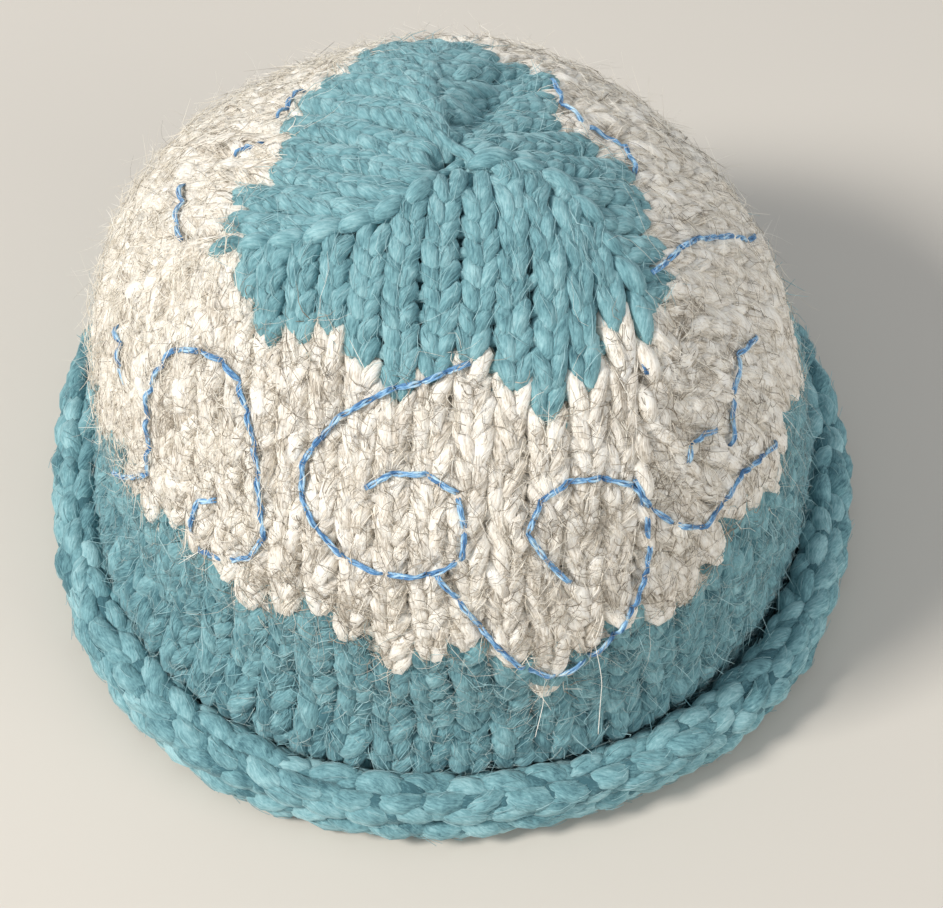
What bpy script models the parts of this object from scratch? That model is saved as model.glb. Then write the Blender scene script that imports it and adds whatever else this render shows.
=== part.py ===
"""A hand-knitted beanie: a teal crown in three wedges, a cream band with zigzag edges, a teal band below it,
and a brim that curls outwards and up into a thick roll.

Lengths are in metres, +Z is up and the hat stands on its roll at z = 0, with its front towards -Y.
The wall is one surface of two numbers. The azimuth is the angle round the hat, 0 at the front and growing
towards +X. The arc is the length along the wall, 0 at the closure on top and growing down to the foot.
"""
import bmesh
import bpy
import numpy as np

# Driving sizes
HAT_HEIGHT = 0.131
BAND_RADIUS = 0.0865
WALL = 0.0055
ROLL_WIDTH = 0.0150
ROLL_HEIGHT = 0.0181
ROLL_TURN = 0.0040
PIECE_GAP = 0.0003

# How far the closure lies to the side of the rim's middle, and in front of it
LEAN_SIDE = -0.0066
LEAN_FRONT = 0.0070
LEAN_START = 0.0300

# Stitches
STITCHES_ROUND = 60
TOOTH_STITCHES = 4
CROWN_STITCH = 0.0082
TOOTH_DEPTH = 0.0118

# Colour edges: the arc of the crown's tooth tips, and the band's reach up the wall from its foot, which is
# more on its right and less on its left
CROWN_REACH = 0.0460
CROWN_REACH_FRONT_MORE = 0.0040
CROWN_REACH_ENDS_MORE = 0.0050
CORNER_DROP = 0.0135
BAND_REACH = 0.0384
BAND_REACH_SIDE_MORE = 0.0070
BAND_TIP_AZIMUTH = np.radians(-5.0)

# Wedges: the front one's middle, the place across it of one tooth's tip, and the turn of the lines between
# wedges about the closure
WEDGES = 3
FRONT_WEDGE_AZIMUTH = np.radians(-7.0)
CROWN_TIP_ACROSS = -0.0071
TURN_ANGLE_AT_CLOSURE = np.radians(34.0)
TURN_ANGLE_AT_END = np.radians(-18.0)
TURN_END_ARC = 0.0950

# Relief of the crown
RIDGE_HEIGHT = 0.0016
RIDGE_HALF_WIDTH = 0.0036
FACET_DEPTH = 0.0022
VALLEY_DEPTH = 0.0042
VALLEY_HALF_WIDTH = 0.0052
VALLEY_ARC = 0.0240
VALLEY_LENGTH = 0.0150
VALLEY_AZIMUTH = np.radians(163.0)
DIMPLE_DEPTH = 0.0020
DIMPLE_RADIUS = 0.0050

# The wall's section from the closure down to the foot. The columns are the radius, as a share of the
# band's, and the rise above the foot, as a share of the closure's.
SECTION = (
    (0.000, 1.000),
    (0.139, 0.982),
    (0.289, 0.948),
    (0.428, 0.902),
    (0.561, 0.841),
    (0.688, 0.766),
    (0.798, 0.677),
    (0.879, 0.579),
    (0.936, 0.469),
    (0.971, 0.338),
    (0.988, 0.207),
    (1.000, 0.076),
    (1.000, 0.000),
)

# How far the plan is from round, at the rim and higher up. The columns are the number of waves round the
# hat, and the cosine's and the sine's height as shares of the radius.
RIM_PLAN = (
    (2, 0.005, -0.006),
    (3, 0.011, -0.010),
    (4, -0.016, -0.007),
)
DOME_PLAN = (
    (2, -0.001, 0.025),
    (3, 0.008, 0.012),
)
PLAN_CHANGE_RISE = 0.0400

# Mesh fineness
COLUMNS = 120
ROLL_COLUMNS = 96
CROWN_ROWS = 5
CREAM_ROWS = 6
BAND_ROWS = 3
SECTION_STEPS = 16

TEAL_WOOL = (0.16, 0.38, 0.46, 1.0)
CREAM_ALPACA = (0.72, 0.66, 0.56, 1.0)

WALL_FOOT = ROLL_HEIGHT / 2
WEDGE_ANGLE = 2 * np.pi / WEDGES


def smooth_line(points, steps):
    """Catmull-Rom curve: each span is a cubic whose end slopes are half the step between the points on
    either side. The line starts on the hat's axis, where it carries on as its own mirror image."""
    points = np.array(points)
    before = points[1] * [-1, 1]
    after = 2 * points[-1] - points[-2]
    padded = np.vstack([before, points, after])
    share = np.linspace(0, 1, steps, endpoint=False)[:, None]
    spans = []
    for k in range(len(points) - 1):
        start, end = padded[k + 1], padded[k + 2]
        slope_in = (padded[k + 2] - padded[k]) / 2
        slope_out = (padded[k + 3] - padded[k + 1]) / 2
        spans.append((2 * share**3 - 3 * share**2 + 1) * start + (share**3 - 2 * share**2 + share) * slope_in
                     + (3 * share**2 - 2 * share**3) * end + (share**3 - share**2) * slope_out)
    spans.append(points[-1:])
    return np.vstack(spans)


def wall_section():
    """The section's arc, radius and height, and its outward normal, at many points."""
    shares = smooth_line(SECTION, SECTION_STEPS)
    radius = shares[:, 0] * BAND_RADIUS
    height = WALL_FOOT + shares[:, 1] * (HAT_HEIGHT - WALL_FOOT)
    steps = np.hypot(np.diff(radius), np.diff(height))
    arc = np.concatenate([[0.0], np.cumsum(steps)])
    normal_out = -np.gradient(height, arc)
    normal_up = np.gradient(radius, arc)
    return arc, radius, height, normal_out, normal_up


ARC, RADIUS, HEIGHT, NORMAL_OUT, NORMAL_UP = wall_section()
FOOT_ARC = ARC[-1]


def plan_factor(table, azimuth):
    """One plus a few waves round the hat, each a cosine and a sine."""
    factor = np.ones_like(azimuth)
    for waves, cosine, sine in table:
        factor = factor + cosine * np.cos(waves * azimuth) + sine * np.sin(waves * azimuth)
    return factor


def plan_centre():
    """The middle of the roll's box, which the hat is moved by so that it stands over the origin."""
    azimuth = np.linspace(0, 2 * np.pi, ROLL_COLUMNS, endpoint=False)
    outside = (BAND_RADIUS + PIECE_GAP + ROLL_WIDTH) * plan_factor(RIM_PLAN, azimuth)
    across = outside * np.sin(azimuth)
    along = -outside * np.cos(azimuth)
    return np.array([across.max() + across.min(), along.max() + along.min()]) / 2


PLAN_CENTRE = plan_centre()


def wrapped(angle, period):
    """The angle brought to within half a period of zero."""
    return (angle + period / 2) % period - period / 2


def knitting_turn(arc):
    """The wedges turn steadily about the closure as they come down, and run straight below the turn's end."""
    share = np.clip(arc / TURN_END_ARC, 0, 1)
    return TURN_ANGLE_AT_CLOSURE + (TURN_ANGLE_AT_END - TURN_ANGLE_AT_CLOSURE) * share


def from_wedge_middle(azimuth, arc):
    """Angle from the middle of the nearest wedge, which is half a wedge at the lines between wedges."""
    return wrapped(azimuth - FRONT_WEDGE_AZIMUTH - knitting_turn(arc), WEDGE_ANGLE)


def bell(distance, half_width):
    """A smooth bump, one at the middle and falling off as the square of the distance grows."""
    return np.exp(-(distance / half_width) ** 2)


def soft_relief(azimuth, arc):
    """How far the whole wall stands out: flats in the wedges' middles and one valley behind the closure."""
    radius = np.interp(arc, ARC, RADIUS)
    fade = np.sin(np.pi * np.clip(arc / TURN_END_ARC, 0, 1))
    flats = -FACET_DEPTH * np.cos(WEDGES * from_wedge_middle(azimuth, arc)) * fade
    across = wrapped(azimuth - VALLEY_AZIMUTH, 2 * np.pi) * radius
    valley = -VALLEY_DEPTH * bell(across, VALLEY_HALF_WIDTH) * bell(arc - VALLEY_ARC, VALLEY_LENGTH)
    return flats + valley


def outside_relief(azimuth, arc):
    """How far the outside alone stands out: ridges of stitches on the lines between wedges, and a dimple
    where the last stitches are drawn together."""
    radius = np.interp(arc, ARC, RADIUS)
    fade = np.sin(np.pi * np.clip(arc / TURN_END_ARC, 0, 1))
    to_line = (WEDGE_ANGLE / 2 - np.abs(from_wedge_middle(azimuth, arc))) * radius
    ridges = RIDGE_HEIGHT * bell(to_line, RIDGE_HALF_WIDTH) * fade
    dimple = -DIMPLE_DEPTH * bell(arc, DIMPLE_RADIUS)
    return ridges + dimple


def wall_point(azimuth, arc, lift):
    """A point on the section's normal, turned about the axis, stretched by the plan's waves, and leaning."""
    radius = np.interp(arc, ARC, RADIUS) + lift * np.interp(arc, ARC, NORMAL_OUT)
    height = np.interp(arc, ARC, HEIGHT) + lift * np.interp(arc, ARC, NORMAL_UP)
    change = np.clip((height - ROLL_HEIGHT) / PLAN_CHANGE_RISE, 0, 1)
    plan = (1 - change) * plan_factor(RIM_PLAN, azimuth) + change * plan_factor(DOME_PLAN, azimuth)
    lean = np.clip((height - LEAN_START) / (HAT_HEIGHT - LEAN_START), 0, 1)
    across = radius * plan * np.sin(azimuth) + LEAN_SIDE * lean
    along = -radius * plan * np.cos(azimuth) - LEAN_FRONT * lean
    return np.stack([across - PLAN_CENTRE[0], along - PLAN_CENTRE[1], height], axis=-1)


def wall_outside(azimuth, arc):
    """The wall's outer face."""
    azimuth, arc = np.broadcast_arrays(azimuth, arc)
    return wall_point(azimuth, arc, soft_relief(azimuth, arc) + outside_relief(azimuth, arc))


def wall_inside(azimuth, arc):
    """The wall's inner face, the wall's thickness below the outer one."""
    azimuth, arc = np.broadcast_arrays(azimuth, arc)
    return wall_point(azimuth, arc, soft_relief(azimuth, arc) - WALL)


def tooth_share(stitches_from_tip):
    """Zero at a tooth's tip and one half-way between two tips, in straight lines."""
    return np.abs(wrapped(stitches_from_tip, TOOTH_STITCHES)) / (TOOTH_STITCHES / 2)


def crown_edge(azimuth):
    """Arc of the crown's lower edge: a straight row across each wedge, which reaches furthest down at the
    lines between wedges, with teeth of a fixed number of stitches that run out beside those lines. The
    stitches are counted sideways from a tooth's tip, in columns that run straight down each wedge."""
    corner_tooth_share = 0.6
    run_out_power = 8
    angle = from_wedge_middle(azimuth, CROWN_REACH)
    share = np.abs(angle) / (WEDGE_ANGLE / 2)
    reach = (CROWN_REACH + CROWN_REACH_FRONT_MORE * np.cos(azimuth)
             + CROWN_REACH_ENDS_MORE * np.cos(2 * azimuth))
    middle = FRONT_WEDGE_AZIMUTH + knitting_turn(CROWN_REACH)
    across = (middle + angle) * np.interp(reach, ARC, RADIUS)
    stitches = (across - CROWN_TIP_ACROSS) / CROWN_STITCH
    run_out = share**run_out_power
    tooth = tooth_share(stitches) * (1 - run_out) + corner_tooth_share * run_out
    return reach + CORNER_DROP * share**2 - TOOTH_DEPTH * tooth


def cream_edge(azimuth):
    """Arc of the cream band's lower edge, with a tooth for every few stitches round the hat. Its height
    changes with the sine cubed, which leaves the front and the back alone."""
    stitches = (azimuth - BAND_TIP_AZIMUTH) * STITCHES_ROUND / (2 * np.pi)
    reach = BAND_REACH + BAND_REACH_SIDE_MORE * np.sin(azimuth) ** 3
    return FOOT_ARC - reach - TOOTH_DEPTH * tooth_share(stitches)


def half_gap(azimuth, edge):
    """Half of the gap between two pieces, measured along the arc, so that it keeps its width on a slope."""
    radius = np.interp(edge, ARC, RADIUS)
    step = azimuth[1] - azimuth[0]
    slope = (np.roll(edge, -1) - np.roll(edge, 1)) / (2 * step * radius)
    steepest = np.maximum(np.abs(slope), np.maximum(np.abs(np.roll(slope, 1)), np.abs(np.roll(slope, -1))))
    return PIECE_GAP / 2 * np.sqrt(1 + steepest**2)


def grid_faces(rows, columns, first):
    """Quads of a grid that closes on itself round the hat, numbered from its first vertex."""
    row, column = np.meshgrid(np.arange(rows - 1), np.arange(columns), indexing="ij")
    beside = (column + 1) % columns
    corners = [row * columns + column, (row + 1) * columns + column,
               (row + 1) * columns + beside, row * columns + beside]
    return (first + np.stack(corners, axis=-1).reshape(-1, 4)).tolist()


def strip_faces(first_ring, second_ring, columns):
    """Pairs of triangles between two rings of vertices, split along the same diagonal all the way round."""
    column = np.arange(columns)
    beside = (column + 1) % columns
    near = np.stack([first_ring + column, first_ring + beside, second_ring + beside], axis=-1)
    far = np.stack([first_ring + column, second_ring + beside, second_ring + column], axis=-1)
    return np.vstack([near, far]).tolist()


def fan_faces(point, ring, columns):
    """Triangles from one point to a ring of vertices."""
    column = np.arange(columns)
    corners = [np.full(columns, point), ring + column, ring + (column + 1) % columns]
    return np.stack(corners, axis=-1).tolist()


def yarn_material(name, colour):
    """Wool: a plain matt surface of the yarn's colour."""
    material = bpy.data.materials.new(name)
    material.use_nodes = True
    shader = material.node_tree.nodes["Principled BSDF"]
    shader.inputs["Base Color"].default_value = colour
    shader.inputs["Roughness"].default_value = 0.9
    shader.inputs["Metallic"].default_value = 0.0
    material.diffuse_color = colour
    return material


def add_piece(name, vertices, faces, material):
    """Puts one closed body into the scene, with its faces outwards and its round sides shaded smooth."""
    mesh = bpy.data.meshes.new(name)
    mesh.from_pydata(vertices.tolist(), [], faces)
    shape = bmesh.new()
    shape.from_mesh(mesh)
    bmesh.ops.recalc_face_normals(shape, faces=shape.faces)
    shape.to_mesh(mesh)
    shape.free()
    mesh.shade_smooth()
    mesh.set_sharp_from_angle(angle=np.radians(50))
    mesh.materials.append(material)
    piece = bpy.data.objects.new(name, mesh)
    bpy.context.scene.collection.objects.link(piece)
    return piece


def add_ring_wall(name, azimuth, top, bottom, rows, material):
    """A stretch of wall between two edges: an outer and an inner grid, joined along both edges."""
    share = np.linspace(0, 1, rows + 1)[:, None]
    arc = top + (bottom - top) * share
    outer = wall_outside(azimuth, arc).reshape(-1, 3)
    inner = wall_inside(azimuth, arc).reshape(-1, 3)
    inner_first = len(outer)
    last_ring = rows * COLUMNS
    faces = grid_faces(rows + 1, COLUMNS, 0) + grid_faces(rows + 1, COLUMNS, inner_first)
    faces = [face if face[0] < inner_first else face[::-1] for face in faces]
    faces += strip_faces(0, inner_first, COLUMNS)
    faces += strip_faces(last_ring, inner_first + last_ring, COLUMNS)
    return add_piece(name, np.vstack([outer, inner]), faces, material)


def add_crown(azimuth, bottom, material):
    """The crown: a cap of wall round the closure, closed by a fan of triangles outside and inside."""
    share = np.linspace(0, 1, CROWN_ROWS + 1)[1:, None]
    arc = bottom * share
    outer = wall_outside(azimuth, arc).reshape(-1, 3)
    inner = wall_inside(azimuth, arc).reshape(-1, 3)
    tip = wall_outside(np.zeros(1), np.zeros(1))
    tip_inside = wall_inside(np.zeros(1), np.zeros(1))
    inner_first = len(outer)
    last_ring = (CROWN_ROWS - 1) * COLUMNS
    tip_index = 2 * inner_first
    faces = grid_faces(CROWN_ROWS, COLUMNS, 0)
    faces += [face[::-1] for face in grid_faces(CROWN_ROWS, COLUMNS, inner_first)]
    faces += strip_faces(last_ring, inner_first + last_ring, COLUMNS)
    faces += fan_faces(tip_index, 0, COLUMNS)
    faces += [face[::-1] for face in fan_faces(tip_index + 1, inner_first, COLUMNS)]
    return add_piece("crown", np.vstack([outer, inner, tip, tip_inside]), faces, material)


def roll_section():
    """Closed outline of the curled fabric: a centre line that comes down from the band, turns outwards
    along the surface and curls up, over and back in, thickened by half the wall to each side."""
    stub_radius = BAND_RADIUS - WALL / 2
    stub_top = WALL_FOOT - PIECE_GAP / 2
    floor_line = WALL / 2
    curl_radius = BAND_RADIUS + PIECE_GAP + ROLL_WIDTH / 2
    curl_across = (ROLL_WIDTH - WALL) / 2
    curl_up = (ROLL_HEIGHT - WALL) / 2
    turn = np.radians([180, 225, 270])
    curl = np.radians([-90, -45, 0, 45, 90, 135, 180])
    centre = [(stub_radius, stub_top)]
    slope = [(0.0, -1.0)]
    for angle in turn:
        centre.append((stub_radius + ROLL_TURN * (1 + np.cos(angle)),
                       floor_line + ROLL_TURN * (1 + np.sin(angle))))
        slope.append((-np.sin(angle), np.cos(angle)))
    for angle in curl:
        centre.append((curl_radius + curl_across * np.cos(angle), ROLL_HEIGHT / 2 + curl_up * np.sin(angle)))
        slope.append((-curl_across * np.sin(angle), curl_up * np.cos(angle)))
    centre = np.array(centre)
    slope = np.array(slope)
    slope /= np.linalg.norm(slope, axis=1, keepdims=True)
    return centre, slope


def add_roll(material):
    """The rolled brim: the curl's section carried round the rim."""
    azimuth = np.linspace(0, 2 * np.pi, ROLL_COLUMNS, endpoint=False)
    centre, slope = roll_section()
    right = np.stack([-slope[:, 1], slope[:, 0]], axis=1)
    outline = np.vstack([centre + right * WALL / 2, (centre - right * WALL / 2)[::-1]])
    plan = plan_factor(RIM_PLAN, azimuth)
    radius = outline[:, :1] * plan
    across = radius * np.sin(azimuth) - PLAN_CENTRE[0]
    along = -radius * np.cos(azimuth) - PLAN_CENTRE[1]
    height = outline[:, 1:] + 0 * azimuth
    vertices = np.stack([across, along, height], axis=-1).reshape(-1, 3)
    points = len(outline)
    faces = grid_faces(points, ROLL_COLUMNS, 0)
    faces += strip_faces(0, (points - 1) * ROLL_COLUMNS, ROLL_COLUMNS)
    return add_piece("rolled_brim", vertices, faces, material)


for old in list(bpy.data.objects):
    bpy.data.objects.remove(old, do_unlink=True)

teal = yarn_material("teal_wool", TEAL_WOOL)
cream = yarn_material("cream_alpaca", CREAM_ALPACA)
ring = np.linspace(0, 2 * np.pi, COLUMNS, endpoint=False)
crown_line = crown_edge(ring)
cream_line = cream_edge(ring)
crown_gap = half_gap(ring, crown_line)
cream_gap = half_gap(ring, cream_line)
foot_line = np.full(COLUMNS, FOOT_ARC - PIECE_GAP / 2)

add_crown(ring, crown_line - crown_gap, teal)
add_ring_wall("cream_band", ring, crown_line + crown_gap, cream_line - cream_gap, CREAM_ROWS, cream)
add_ring_wall("lower_band", ring, cream_line + cream_gap, foot_line, BAND_ROWS, teal)
add_roll(teal)
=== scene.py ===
"""A hand-knitted beanie, standing on its rolled brim.

The hat is one sheet of bulky knitting, and every stitch is laid as a loop of yarn. The sheet is a surface of
two numbers: the azimuth round the hat, 0 at the front and growing towards +X, and the arc down the wall from
the closure on top to the foot, which then runs on through the curl of the brim. The lift is the distance off
that surface on the knit side. Lengths are in metres.
"""
import bpy
import numpy as np
from mathutils import Matrix


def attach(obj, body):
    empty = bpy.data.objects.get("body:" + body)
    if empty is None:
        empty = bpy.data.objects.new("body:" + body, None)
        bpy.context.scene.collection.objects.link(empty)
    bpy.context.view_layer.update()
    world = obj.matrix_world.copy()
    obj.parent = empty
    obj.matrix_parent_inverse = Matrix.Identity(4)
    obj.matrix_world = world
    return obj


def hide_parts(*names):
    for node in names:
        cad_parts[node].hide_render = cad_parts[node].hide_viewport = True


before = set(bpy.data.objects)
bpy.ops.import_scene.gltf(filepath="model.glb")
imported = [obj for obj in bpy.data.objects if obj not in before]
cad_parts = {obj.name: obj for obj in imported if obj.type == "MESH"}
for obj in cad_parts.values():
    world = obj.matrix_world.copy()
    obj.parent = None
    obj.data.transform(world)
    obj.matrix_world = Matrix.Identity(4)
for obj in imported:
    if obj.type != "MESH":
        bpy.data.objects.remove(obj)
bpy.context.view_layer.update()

# The rolled brim. The first rows of the knitting, in the teal wool, curl outwards by themselves and lie as a
# thick roll with their purl side out, so it shows the loops' heads and feet as plump crescents.
# It carries on into the lower band without a seam.
HAT_HEIGHT = 0.131
BAND_RADIUS = 0.0865
WALL = 0.0055
PIECE_GAP = 0.0003
ROLL_WIDTH = 0.015
ROLL_HEIGHT = 0.0181
ROLL_TURN = 0.004
WALL_FOOT = ROLL_HEIGHT / 2
FLOOR_CLEAR = 0.0002

# How far the closure lies to the side of the rim's middle and in front of it, and where the lean starts
LEAN_SIDE = -0.0066
LEAN_FRONT = 0.007
LEAN_START = 0.03

# The middle of the plan's box, and the rise over which the rim's plan turns into the dome's
PLAN_CENTRE = (0.00092, -0.00126)
PLAN_CHANGE_RISE = 0.04

# Shares of the band's radius and of the closure's rise above the foot, from the closure down
WALL_SHARES = ((0.000, 1.000), (0.139, 0.982), (0.289, 0.948), (0.428, 0.902), (0.561, 0.841), (0.688, 0.766),
               (0.798, 0.677), (0.879, 0.579), (0.936, 0.469), (0.971, 0.338), (0.988, 0.207), (1.000, 0.076),
               (1.000, 0.000))

# Waves round the hat, with the cosine's and the sine's share of the radius, at the rim and higher up
RIM_PLAN = ((2, 0.005, -0.006), (3, 0.011, -0.01), (4, -0.016, -0.007))
DOME_PLAN = ((2, -0.001, 0.025), (3, 0.008, 0.012))

# The crown's wedges, and their turn about the closure there and at the turn's end
WEDGES = 3
WEDGE_ANGLE = 2 * np.pi / WEDGES
FRONT_WEDGE = np.radians(-7.0)
TURN_AT_CLOSURE = np.radians(34.0)
TURN_AT_END = np.radians(-18.0)
TURN_END_ARC = 0.095

# The wedges' flats, the fold behind the closure, the dimple at it, and the wall's bulge over the roll, which
# leaves the crease open on the right
FACET_DEPTH = 0.0022
VALLEY_DEPTH = 0.0052
VALLEY_HALF_WIDTH = 0.0052
VALLEY_ARC = 0.027
VALLEY_LENGTH = 0.019
VALLEY_AZIMUTH = np.radians(163.0)
DIMPLE_DEPTH = 0.002
DIMPLE_RADIUS = 0.005
FOOT_BULGE = 0.0036
FOOT_BULGE_UP = 0.01
FOOT_BULGE_WIDTH = 0.008
CREASE_AZIMUTH = np.radians(62.0)
CREASE_HALF_ANGLE = np.radians(30.0)
CREASE_SHARE = 0.9

# Slow waves of hand knitting: how many round the hat, radians for each metre of arc, and start
UNEVEN_WAVES = ((5, 160, 0.0), (9, -230, 2.0), (3, 410, 4.0))
UNEVEN_HEIGHT = 0.0006
UNEVEN_ARCS = (0.02, 0.05)

STITCHES_ROUND = 60
WEDGE_STITCHES = STITCHES_ROUND // WEDGES


def smooth_line(points, steps, from_axis=False):
    """Catmull-Rom curve: each span is a cubic whose end slopes are half the step between the points on
    either side. It starts straight, or on the hat's axis, where it carries on as its own mirror image."""
    points = np.array(points, float)
    before = points[1] * [-1, 1] if from_axis else 2 * points[0] - points[1]
    padded = np.vstack([before, points, 2 * points[-1] - points[-2]])[:, None]
    share = np.linspace(0, 1, steps, endpoint=False)[:, None]
    slope = (padded[2:] - padded[:-2]) / 2
    spans = ((2 * share**3 - 3 * share**2 + 1) * padded[1:-2] + (share**3 - 2 * share**2 + share) * slope[:-1]
             + (3 * share**2 - 2 * share**3) * padded[2:-1] + (share**3 - share**2) * slope[1:])
    return np.vstack([spans.reshape(-1, points.shape[1]), points[-1:]])


def fabric_section():
    """The sheet's section: the wall's outer face down to the foot, then the curl's inner face. The curl is a
    middle line straight down, round a quarter turn, along the floor and round three quarters of an ellipse,
    moved half a wall to the knit side. Returns arc, radius, height, normal and the foot's arc."""
    shares = smooth_line(WALL_SHARES, 16, from_axis=True)
    radius = shares[:, 0] * BAND_RADIUS
    height = WALL_FOOT + shares[:, 1] * (HAT_HEIGHT - WALL_FOOT)
    arc = np.concatenate([[0.0], np.cumsum(np.hypot(np.diff(radius), np.diff(height)))])
    out, up = -np.gradient(height, arc), np.gradient(radius, arc)

    quarter = np.radians(np.linspace(180, 270, 12))
    turn = np.stack([BAND_RADIUS - WALL / 2 + ROLL_TURN * (1 + np.cos(quarter)),
                     WALL / 2 + ROLL_TURN * (1 + np.sin(quarter))], axis=1)
    ellipse = np.radians(np.linspace(-90, 180, 60))
    curl = np.stack([BAND_RADIUS + PIECE_GAP + ROLL_WIDTH / 2 + (ROLL_WIDTH - WALL) / 2 * np.cos(ellipse),
                     ROLL_HEIGHT / 2 + (ROLL_HEIGHT - WALL) / 2 * np.sin(ellipse)], axis=1)
    middle = np.vstack([[(BAND_RADIUS - WALL / 2, WALL_FOOT)], turn, curl])
    steps = np.concatenate([[0.0], np.cumsum(np.linalg.norm(np.diff(middle, axis=0), axis=1))])
    slope = np.gradient(middle, steps, axis=0)
    slope /= np.linalg.norm(slope, axis=1, keepdims=True)
    normal = np.stack([-slope[:, 1], slope[:, 0]], axis=1)
    inner = middle + normal * WALL / 2
    rest = np.vstack([arc[-1] + steps, inner.T, normal.T])[:, 1:]
    return *np.hstack([[arc, radius, height, out, up], rest]), arc[-1]


ARC, RADIUS, HEIGHT, NORMAL_OUT, NORMAL_UP, FOOT_ARC = fabric_section()


def wrapped(value, period=2 * np.pi):
    """The value brought to within half a period of zero."""
    return (value + period / 2) % period - period / 2


def bell(distance, half_width):
    """A smooth bump, one at the middle and falling off as the square of the distance grows."""
    return np.exp(-(distance / half_width) ** 2)


def smooth_step(value, start, end):
    """Zero before the start and one after the end, with level ends: 3 t squared less 2 t cubed."""
    share = np.clip((value - start) / (end - start), 0, 1)
    return share * share * (3 - 2 * share)


def plan_factor(table, azimuth):
    """One plus a few waves round the hat, each a cosine and a sine."""
    return 1 + sum(cosine * np.cos(waves * azimuth) + sine * np.sin(waves * azimuth)
                   for waves, cosine, sine in table)


def fabric_point(azimuth, arc, lift):
    """A point of the sheet: the section's point moved along its normal by the lift and the relief, turned
    about the axis, stretched by the plan's waves, and leaning further the higher it is."""
    radius = np.interp(arc, ARC, RADIUS)
    down = np.clip(arc / TURN_END_ARC, 0, 1)
    turn = TURN_AT_CLOSURE + (TURN_AT_END - TURN_AT_CLOSURE) * down
    from_middle = wrapped(azimuth - FRONT_WEDGE - turn, WEDGE_ANGLE)
    flats = -FACET_DEPTH * np.cos(WEDGES * from_middle) * np.sin(np.pi * down)
    across_valley = wrapped(azimuth - VALLEY_AZIMUTH) * radius
    valley = -VALLEY_DEPTH * bell(across_valley, VALLEY_HALF_WIDTH) * bell(arc - VALLEY_ARC, VALLEY_LENGTH)
    dimple = -DIMPLE_DEPTH * bell(arc, DIMPLE_RADIUS)
    crease = CREASE_SHARE * bell(wrapped(azimuth - CREASE_AZIMUTH), CREASE_HALF_ANGLE)
    bulge = FOOT_BULGE * bell(arc - FOOT_ARC + FOOT_BULGE_UP, FOOT_BULGE_WIDTH) * (1 - crease)
    waves = [np.sin(around * azimuth + along * arc + start) for around, along, start in UNEVEN_WAVES]
    uneven = UNEVEN_HEIGHT * np.mean(waves, axis=0) * smooth_step(arc, *UNEVEN_ARCS)
    lift = lift + flats + valley + dimple + bulge + uneven
    radius = radius + lift * np.interp(arc, ARC, NORMAL_OUT)
    height = np.interp(arc, ARC, HEIGHT) + lift * np.interp(arc, ARC, NORMAL_UP)
    change = np.clip((height - ROLL_HEIGHT) / PLAN_CHANGE_RISE, 0, 1)
    change = np.where(arc > FOOT_ARC, 0, change)
    plan = (1 - change) * plan_factor(RIM_PLAN, azimuth) + change * plan_factor(DOME_PLAN, azimuth)
    lean = np.clip((height - LEAN_START) / (HAT_HEIGHT - LEAN_START), 0, 1)
    across = radius * plan * np.sin(azimuth) + LEAN_SIDE * lean - PLAN_CENTRE[0]
    along = -radius * plan * np.cos(azimuth) - LEAN_FRONT * lean - PLAN_CENTRE[1]
    return np.stack([across, along, height], axis=-1)


def unit(vectors):
    """Vectors brought to length one."""
    return vectors / np.maximum(np.linalg.norm(vectors, axis=-1, keepdims=True), 1e-12)


def fabric_path(azimuth, arc, lift):
    """Points of the sheet, and at each the outward direction, towards the point a millimetre further out."""
    path = fabric_point(azimuth, arc, lift)
    return path, fabric_point(azimuth, arc, lift + 0.001) - path


def strand_sides(path, outward):
    """The sideways and the outward direction along many paths, square to each and of length one: the slope
    crossed with the outward direction, and that crossed with the slope."""
    slope = unit(np.gradient(path, axis=1))
    aside = unit(np.cross(slope, outward))
    return aside, np.cross(aside, slope)


# A strand's fibre pattern starts so many mm further on than the last one's, within a span
PATTERN_STEP = 7.31
PATTERN_SPAN = 97


def tubes(path, outward, radius, sides, tone, twist=0.0):
    """Round strands along many paths at once. Each ring is the path's point plus the radius times cosine of
    the side direction and sine of the outward one. Also gives each point's place in the yarn in mm, turned by
    the twist, for fibres that run along it."""
    aside, out = strand_sides(path, outward)
    around = 2 * np.pi * np.arange(sides) / sides
    ring = (np.cos(around)[:, None] * aside[:, :, None, :] + np.sin(around)[:, None] * out[:, :, None, :])
    points = path[:, :, None, :] + radius[:, :, None, None] * ring
    strands, rings = path.shape[:2]
    step = np.linalg.norm(np.diff(path, axis=1), axis=2)
    length = np.concatenate([np.zeros((strands, 1)), np.cumsum(step, axis=1)], axis=1) * 1000
    turned = around + twist * length[:, :, None]
    fibre = np.stack([radius[:, :, None] * 1000 * np.cos(turned), radius[:, :, None] * 1000 * np.sin(turned),
                      np.broadcast_to(length[:, :, None], turned.shape)], axis=-1)
    fibre = fibre + (np.arange(strands) * PATTERN_STEP % PATTERN_SPAN)[:, None, None, None]
    index = np.arange(strands * rings * sides).reshape(strands, rings, sides)
    here, following = index[:, :-1], index[:, 1:]
    quads = np.stack([here, following, np.roll(following, -1, axis=2), np.roll(here, -1, axis=2)], axis=-1)
    caps = np.concatenate([index[:, 0], index[:, -1, ::-1]])
    tones = np.broadcast_to(np.reshape(tone, (strands, -1, 1)), (strands, rings, sides))
    return {"points": points.reshape(-1, 3), "corners": np.concatenate([quads.reshape(-1), caps.reshape(-1)]),
            "sizes": np.concatenate([np.full(quads.size // 4, 4), np.full(len(caps), sides)]),
            "fibre": fibre.reshape(-1, 3), "tone": tones.reshape(-1)}


def patches(points, quads, tone):
    """Four-cornered faces, in the form of strands, whose fibres follow their place."""
    return {"points": points, "corners": quads.reshape(-1), "sizes": np.full(quads.size // 4, 4),
            "fibre": points * 1000, "tone": np.full(len(points), tone)}


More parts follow.
